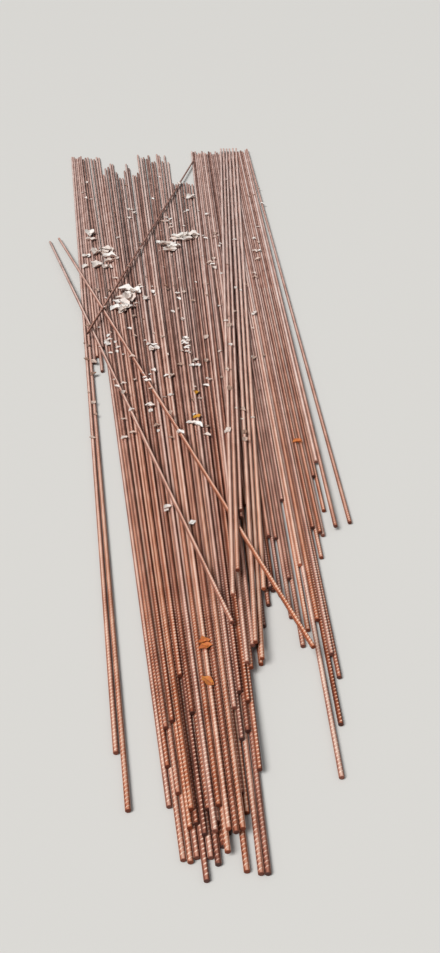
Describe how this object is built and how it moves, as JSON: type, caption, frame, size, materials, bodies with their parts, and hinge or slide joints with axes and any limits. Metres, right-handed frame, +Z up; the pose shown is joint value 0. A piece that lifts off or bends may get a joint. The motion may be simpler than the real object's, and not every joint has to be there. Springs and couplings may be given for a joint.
{
  "type": "rebar bundle",
  "caption": "Loose, untied bundle of long rusty ribbed reinforcing bars, gathered at one end and fanned out at the other, lying flat with a few bars across the top.",
  "frame": {"origin": "bottom centre of the heap's bounding box, on the floor it lies on", "axes": "+Z up; +Y along the bars, from their gathered ends to their spread ends; +X to the right seen from the gathered ends"},
  "size_m": [1.4678, 6.196, 0.0751],
  "materials": {
    "rusted_steel": "matte"
  },
  "bodies": {
    "root": {"left_bars_bottom": "rusted_steel", "left_bars_middle": "rusted_steel", "left_bars_top": "rusted_steel", "left_edge_pair": "rusted_steel", "left_short_bars": "rusted_steel", "right_bars_lower": "rusted_steel", "right_bars_upper": "rusted_steel", "right_edge_pair": "rusted_steel", "straight_bars": "rusted_steel", "crossing_bar_a": "rusted_steel", "crossing_bar_b": "rusted_steel", "straight_top_bars": "rusted_steel", "thin_crossing_bar": "rusted_steel"}
  },
  "joints": []
}
